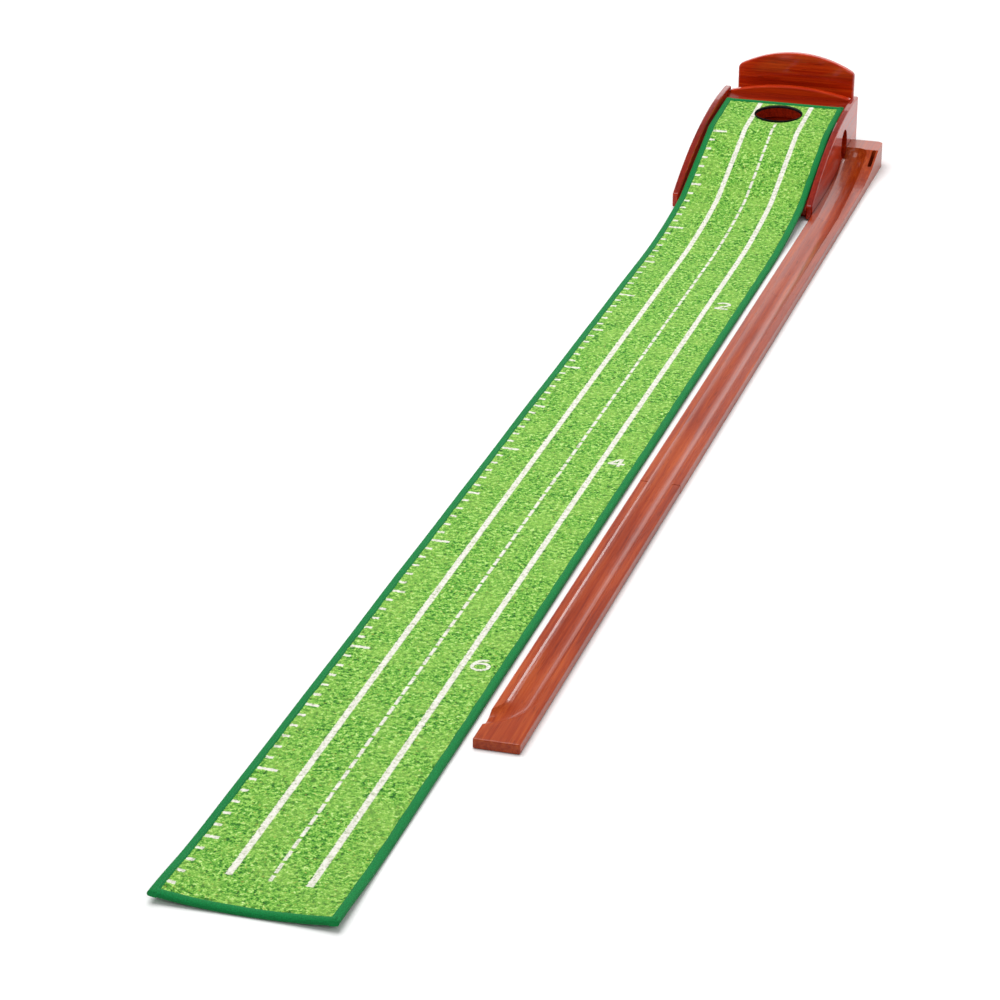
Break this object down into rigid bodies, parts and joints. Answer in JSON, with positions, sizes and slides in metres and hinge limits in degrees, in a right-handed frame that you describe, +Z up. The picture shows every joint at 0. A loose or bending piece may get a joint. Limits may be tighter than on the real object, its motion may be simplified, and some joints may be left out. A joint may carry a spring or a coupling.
{
  "type": "practice putting mat",
  "caption": "Long turf putting runner with ruler marks on a low wooden ramp box with cup hole, arched backstop and a jointed wooden ball return tray.",
  "frame": {"origin": "centre of the bounding box, on the floor", "axes": "+Y along the turf from its near edge to the ramp box, +X towards the ball return tray, +Z up"},
  "size_m": [0.2776, 2.6302, 0.152],
  "materials": {
    "turf": "short cut pile, speckled",
    "binding": "woven tape, sewn",
    "board_wood": "stained and lacquered, satin gloss",
    "deck_wood": "stained plywood, satin",
    "tray_wood": "stained and lacquered, gloss",
    "dowel": "raw beech",
    "brass_pin": "turned",
    "rubber": "matt",
    "ring": "matt black",
    "hook_tape": "hook tape"
  },
  "bodies": {
    "head": {"side_panel_left": "board_wood", "side_panel_right": "board_wood", "ramp_deck": "deck_wood", "hole_deck": "deck_wood", "rear_board": "board_wood", "front_rail": "board_wood", "middle_rail": "board_wood", "chute_rear_wall": "board_wood", "ball_chute": "board_wood", "chute_fence_front": "board_wood", "chute_fence_rear": "board_wood", "hole_ring": "ring", "hook_tape": "hook_tape", "backstop_guide_left": "board_wood", "backstop_guide_right": "board_wood", "tray_dowel_front": "dowel", "tray_dowel_rear": "dowel", "pad_front_left": "rubber", "pad_front_right": "rubber", "pad_rear_left": "rubber", "pad_rear_right": "rubber", "rail_dowel_front_left": "dowel", "rail_dowel_front_right": "dowel", "rail_dowel_middle_low_left": "dowel", "rail_dowel_middle_low_right": "dowel", "rail_dowel_middle_high_left": "dowel", "rail_dowel_middle_high_right": "dowel", "rail_dowel_rear_low_left": "dowel", "rail_dowel_rear_low_right": "dowel", "rail_dowel_rear_high_left": "dowel", "rail_dowel_rear_high_right": "dowel"},
    "runner": {"turf": "turf", "binding_left": "binding", "binding_right": "binding", "binding_near": "binding", "binding_far": "binding"},
    "backstop": {"backstop_board": "board_wood"},
    "tray_head_piece": {"tray_head": "tray_wood", "tray_pin_head_left": "brass_pin", "tray_pin_head_right": "brass_pin"},
    "tray_upper_piece": {"tray_upper": "tray_wood", "tray_pin_upper_left": "brass_pin", "tray_pin_upper_right": "brass_pin"},
    "tray_middle_piece": {"tray_middle": "tray_wood", "tray_pin_middle_left": "brass_pin", "tray_pin_middle_right": "brass_pin"},
    "tray_end_piece": {"tray_end": "tray_wood"}
  },
  "joints": [
    {"name": "runner_lift", "type": "slide", "parent": "head", "child": "runner", "axis": [0, 0, 1], "range_m": [0, 0.1]},
    {"name": "backstop_lift", "type": "slide", "parent": "head", "child": "backstop", "axis": [0, 0, 1], "range_m": [0, 0.06]},
    {"name": "tray_head_pull", "type": "slide", "parent": "head", "child": "tray_head_piece", "axis": [1, 0, 0], "range_m": [0, 0.03]},
    {"name": "tray_upper_pull", "type": "slide", "parent": "tray_head_piece", "child": "tray_upper_piece", "axis": [0, -1, 0], "range_m": [0, 0.03]},
    {"name": "tray_middle_pull", "type": "slide", "parent": "tray_upper_piece", "child": "tray_middle_piece", "axis": [0, -1, 0], "range_m": [0, 0.03]},
    {"name": "tray_end_pull", "type": "slide", "parent": "tray_middle_piece", "child": "tray_end_piece", "axis": [0, -1, 0], "range_m": [0, 0.03]}
  ]
}
